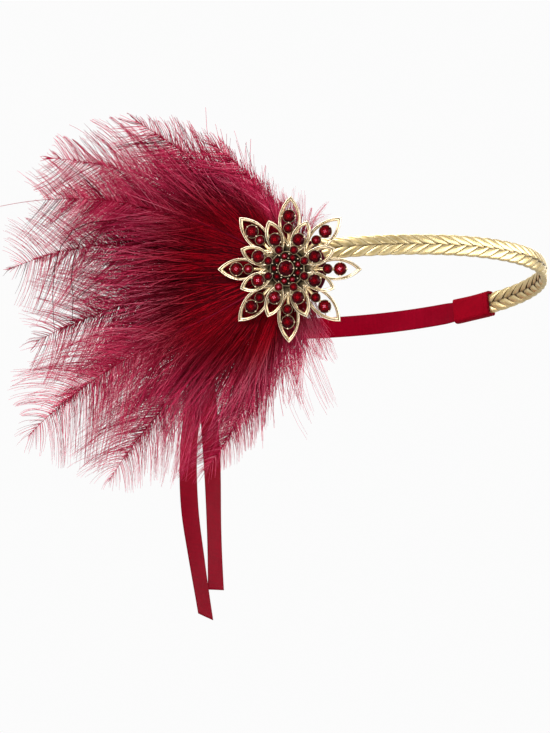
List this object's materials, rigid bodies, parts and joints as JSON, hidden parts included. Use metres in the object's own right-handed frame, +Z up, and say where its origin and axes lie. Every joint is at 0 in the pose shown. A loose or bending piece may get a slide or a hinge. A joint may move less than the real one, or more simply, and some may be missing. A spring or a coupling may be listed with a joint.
{
  "type": "flapper feather headband",
  "caption": "Plaited gold headband with a satin ribbon tie, a jewelled flower brooch at the temple and a fan of burgundy ostrich plumes behind it.",
  "frame": {"origin": "middle of the head loop, on the band's centre line, where a head goes through", "axes": "+X towards the forehead, +Y away from the side with the brooch, +Z up"},
  "size_m": [0.2731, 0.1765, 0.2258],
  "materials": {
    "gold_braid": "pale gold foil on plaited imitation leather",
    "end_cloth": "crimson ribbed cloth",
    "satin": "crimson satin",
    "backing_felt": "dark red felt",
    "brooch_metal": "polished pale gilt with darkened recesses",
    "garnet_glass": "cut deep red glass, foiled behind",
    "feather": "soft burgundy ostrich feather"
  },
  "bodies": {
    "root": {"braid_band": "gold_braid", "sleeve_right": "end_cloth", "sleeve_left": "end_cloth", "ribbon_right": "satin", "ribbon_left": "satin", "ribbon_knot": "satin", "tail_long": "satin", "tail_short": "satin", "felt_backing": "backing_felt", "plume_crest": "feather", "plume_upper": "feather", "plume_high_left": "feather", "plume_quill": "feather", "plume_left": "feather", "plume_low_left": "feather", "plume_long": "feather", "plume_lower": "feather", "plume_bottom": "feather", "brooch_setting": "brooch_metal", "stone_centre": "garnet_glass", "stone_outer_1": "garnet_glass", "stone_outer_2": "garnet_glass", "stone_outer_3": "garnet_glass", "stone_outer_4": "garnet_glass", "stone_outer_5": "garnet_glass", "stone_outer_6": "garnet_glass", "stone_outer_7": "garnet_glass", "stone_outer_8": "garnet_glass", "stone_outer_small_1": "garnet_glass", "stone_outer_small_2": "garnet_glass", "stone_outer_small_3": "garnet_glass", "stone_outer_small_4": "garnet_glass", "stone_outer_small_5": "garnet_glass", "stone_outer_small_6": "garnet_glass", "stone_outer_small_7": "garnet_glass", "stone_outer_small_8": "garnet_glass", "stone_inner_1": "garnet_glass", "stone_inner_2": "garnet_glass", "stone_inner_3": "garnet_glass", "stone_inner_4": "garnet_glass", "stone_inner_5": "garnet_glass", "stone_inner_6": "garnet_glass", "stone_inner_7": "garnet_glass", "stone_inner_8": "garnet_glass", "stone_inner_small_1": "garnet_glass", "stone_inner_small_2": "garnet_glass", "stone_inner_small_3": "garnet_glass", "stone_inner_small_4": "garnet_glass", "stone_inner_small_5": "garnet_glass", "stone_inner_small_6": "garnet_glass", "stone_inner_small_7": "garnet_glass", "stone_inner_small_8": "garnet_glass"}
  },
  "joints": []
}
